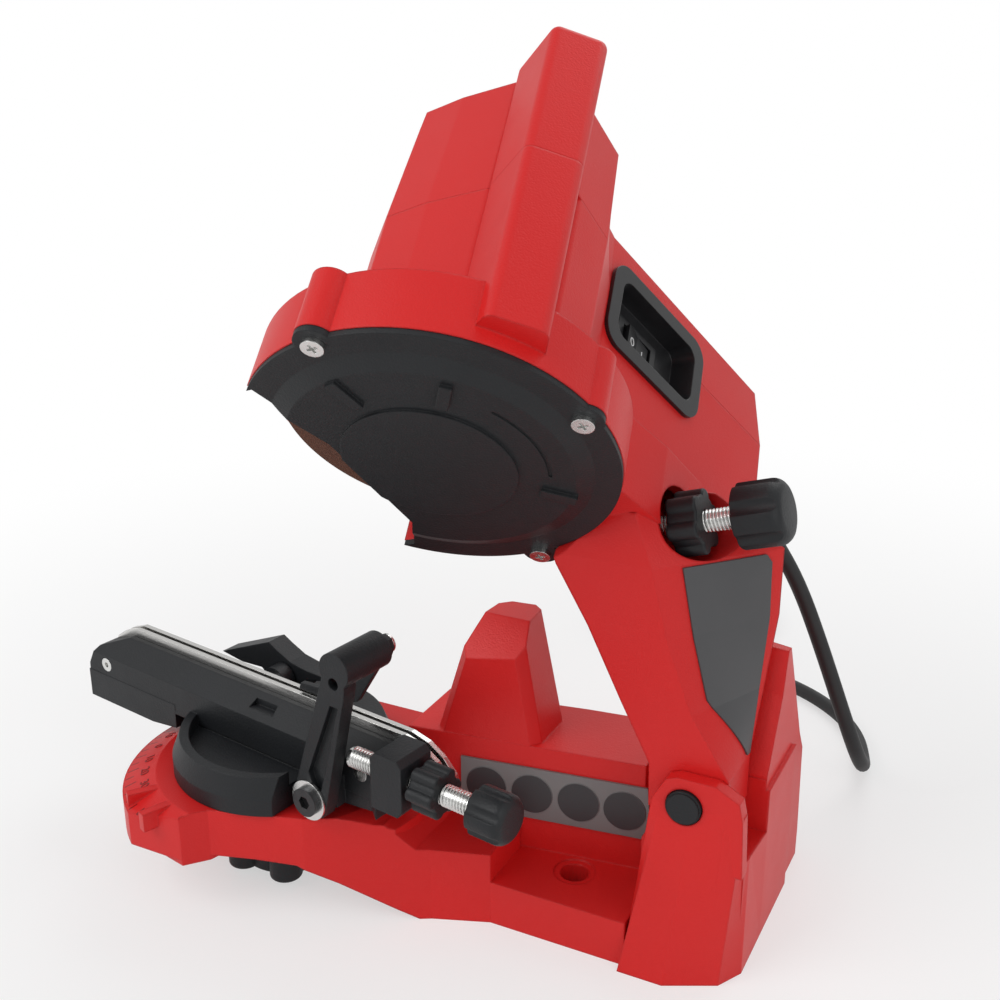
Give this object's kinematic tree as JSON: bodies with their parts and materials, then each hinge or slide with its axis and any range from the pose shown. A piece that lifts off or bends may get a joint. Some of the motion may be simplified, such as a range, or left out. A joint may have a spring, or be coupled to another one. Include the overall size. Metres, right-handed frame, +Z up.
{
  "type": "electric chainsaw sharpener",
  "caption": "Bench grinder for saw chain: swinging motor head with grinding disc and guard over a turning chain rail with stop, clamp and adjusting screws on a red base.",
  "frame": {"origin": "midway between the two bench screw holes, on the resting plane", "axes": "+Z up, +X from the turntable to the arm's pivot, +Y to the back of the bench"},
  "size_m": [0.3052, 0.4376, 0.3202],
  "materials": {
    "red_plastic": "fine moulded grain, satin",
    "black_plastic": "fine moulded grain, matt",
    "steel": "brushed, zinc plated",
    "brass": "turned",
    "abrasive": "coarse resin bonded grit",
    "black_gloss": "smooth",
    "grey_plate": "smooth blank film",
    "cord_rubber": "matt flexible sheath"
  },
  "bodies": {
    "base": {"base_housing": "red_plastic", "underside_plate": "black_plastic", "info_panel": "grey_plate", "pivot_bolt": "steel", "pivot_cap": "black_plastic", "pivot_nut": "steel", "pivot_washer": "steel", "return_spring": "steel", "lock_washer": "steel", "mains_cord": "cord_rubber", "cord_coil": "cord_rubber", "plug": "cord_rubber"},
    "turntable": {"turntable": "black_plastic", "strip_front": "steel", "strip_rear": "steel", "strip_screw_left": "steel", "strip_screw_right": "steel", "turntable_bolt": "steel", "clamp_pin": "steel", "clamp_clip": "steel", "stop_bolt": "steel", "stop_washer": "steel"},
    "lock_knob": {"lock_knob": "black_plastic"},
    "clamp_lever": {"clamp_lever": "black_plastic"},
    "stop": {"stop_arm": "black_plastic", "stop_pin": "steel", "pin_ring": "steel"},
    "stop_pawl": {"stop_pawl": "black_plastic"},
    "adjuster_screw": {"adjuster_screw": "steel"},
    "adjuster_knob": {"adjuster_knob": "black_plastic"},
    "adjuster_lock_nut": {"adjuster_lock_nut": "black_plastic"},
    "head": {"housing_front": "red_plastic", "housing_rear": "red_plastic", "switch_bezel": "black_plastic", "switch_body": "black_gloss", "rocker_pin": "steel", "guard_cover": "black_plastic", "guard_screw_1": "steel", "guard_screw_2": "steel", "guard_screw_3": "steel", "bearing_front": "steel", "bearing_rear": "steel", "stator": "steel", "brush_holder": "black_plastic", "brush_left": "black_gloss", "brush_right": "black_gloss", "rating_plate": "grey_plate", "cord_gland": "cord_rubber", "bush_front": "brass", "bush_rear": "brass"},
    "disc": {"grinding_disc": "abrasive", "inner_flange": "steel", "clamp_nut": "black_gloss", "motor_shaft": "steel", "rotor": "steel", "commutator": "brass"},
    "rocker": {"rocker": "black_gloss"},
    "depth_screw": {"depth_screw": "steel"},
    "depth_knob": {"depth_knob": "black_plastic"},
    "depth_lock_nut": {"depth_lock_nut": "black_plastic"}
  },
  "joints": [
    {"name": "head_swing", "type": "hinge", "parent": "base", "child": "head", "pos_m": [0.0455, -0.05, 0.067], "axis": [0, -1, 0], "range_deg": [0, 33], "stiffness_Nm_per_rad": 1.5, "springref_deg": -68.75},
    {"name": "disc_spin", "type": "hinge", "parent": "head", "child": "disc", "pos_m": [-0.038, -0.068, 0.2], "axis": [-0.1879, 0.766, 0.6147], "continuous": true},
    {"name": "turntable_turn", "type": "hinge", "parent": "base", "child": "turntable", "pos_m": [-0.119, -0.055, 0], "axis": [0, 0, 1], "range_deg": [-70, 0]},
    {"name": "lock_knob_turn", "type": "hinge", "parent": "turntable", "child": "lock_knob", "pos_m": [-0.119, -0.055, 0], "axis": [0, 0, 1], "range_deg": [0, 270]},
    {"name": "clamp_lever_turn", "type": "hinge", "parent": "turntable", "child": "clamp_lever", "pos_m": [-0.13476, -0.05222, 0.0695], "axis": [-0.1736, -0.9848, 0], "range_deg": [-25, 0]},
    {"name": "stop_arm_swing", "type": "hinge", "parent": "turntable", "child": "stop", "pos_m": [-0.08412, -0.08755, 0.0545], "axis": [-0.1736, -0.9848, 0], "range_deg": [-3, 0]},
    {"name": "pawl_flip", "type": "hinge", "parent": "stop", "child": "stop_pawl", "pos_m": [-0.06484, -0.06455, 0.111], "axis": [-0.1736, -0.9848, 0], "range_deg": [-60, 0]},
    {"name": "adjuster_slide", "type": "slide", "parent": "turntable", "child": "adjuster_screw", "axis": [0.9848, -0.1736, 0], "range_m": [0, 0.01]},
    {"name": "adjuster_turn", "type": "hinge", "parent": "adjuster_screw", "child": "adjuster_knob", "pos_m": [-0.0043, -0.09553, 0.0755], "axis": [0.9848, -0.1736, 0], "range_deg": [0, 3000]},
    {"name": "adjuster_lock_turn", "type": "hinge", "parent": "turntable", "child": "adjuster_lock_nut", "pos_m": [-0.03089, -0.09084, 0.0755], "axis": [0.9848, -0.1736, 0], "range_deg": [0, 90]},
    {"name": "rocker_tip", "type": "hinge", "parent": "head", "child": "rocker", "pos_m": [-0.00035, 0.00208, 0.21121], "axis": [0.1879, -0.766, -0.6147], "range_deg": [0, 10]},
    {"name": "depth_slide", "type": "slide", "parent": "head", "child": "depth_screw", "axis": [0.9563, 0, 0.2924], "range_m": [-0.004, 0.01]},
    {"name": "depth_turn", "type": "hinge", "parent": "depth_screw", "child": "depth_knob", "pos_m": [0.0205, -0.023, 0.1564], "axis": [0.9563, 0, 0.2924], "range_deg": [-1200, 3000]},
    {"name": "depth_lock_turn", "type": "hinge", "parent": "head", "child": "depth_lock_nut", "pos_m": [0.0205, -0.023, 0.1564], "axis": [0.9563, 0, 0.2924], "range_deg": [0, 90]}
  ],
  "couplings": [
    {"joint": "adjuster_turn", "follows": "adjuster_slide", "rad_per_m": 5026.5},
    {"joint": "depth_turn", "follows": "depth_slide", "rad_per_m": 5026.5}
  ]
}
